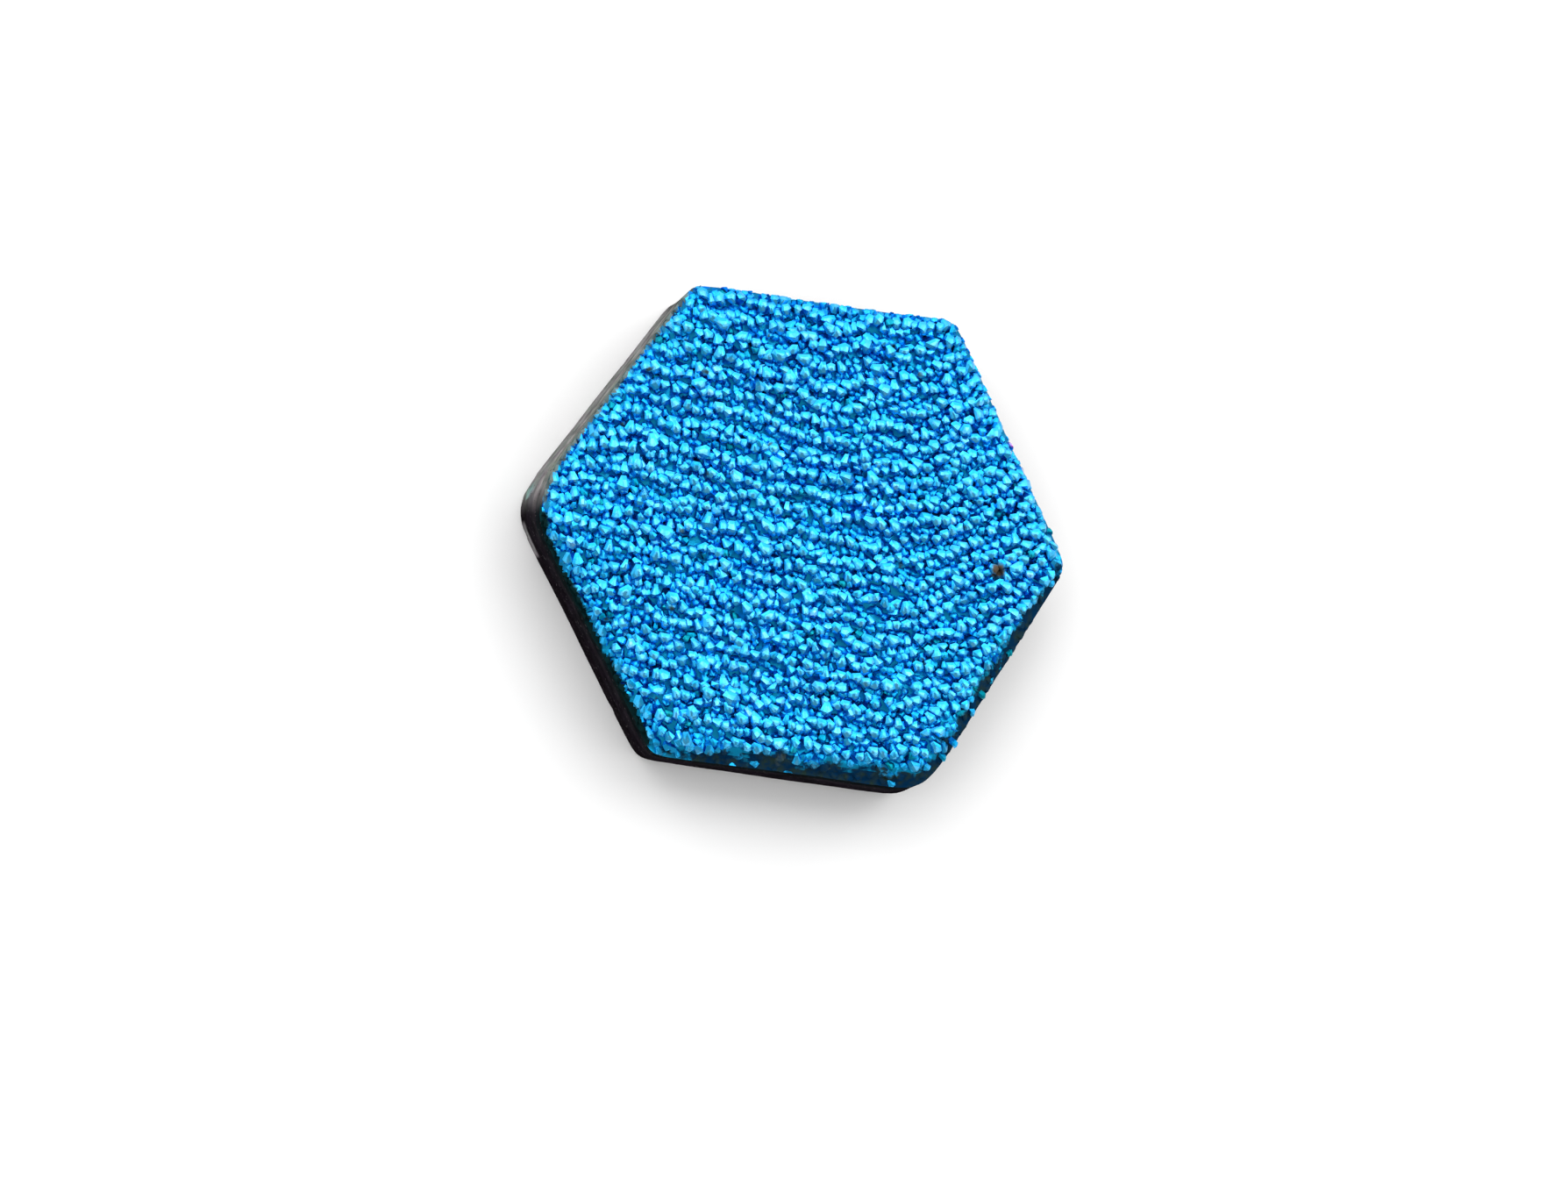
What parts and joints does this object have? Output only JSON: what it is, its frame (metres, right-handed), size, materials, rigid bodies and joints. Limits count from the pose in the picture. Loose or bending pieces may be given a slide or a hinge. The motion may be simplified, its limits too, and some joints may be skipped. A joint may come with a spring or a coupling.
{
  "type": "hexagonal druzy cabochon",
  "caption": "Hexagonal cut stone, flat on its back and sides, with a natural face of fine sparkling blue-coated quartz crystals on dark rock.",
  "frame": {"origin": "on the flat back, at the middle of the outline's box seen from above", "axes": "+Z out of the crystal face, +X towards a corner of the hexagon, +Y towards the middle of a flat"},
  "size_m": [0.0162, 0.0142, 0.0033],
  "materials": {
    "host_rock": "satin",
    "dark_agate": "satin",
    "pale_agate": "satin",
    "coated_quartz": "gloss"
  },
  "bodies": {
    "root": {"host_rock": "host_rock", "dark_agate": "dark_agate", "pale_agate": "pale_agate", "quartz_crust": "coated_quartz", "proud_points": "coated_quartz", "rim_points": "coated_quartz"}
  },
  "joints": []
}
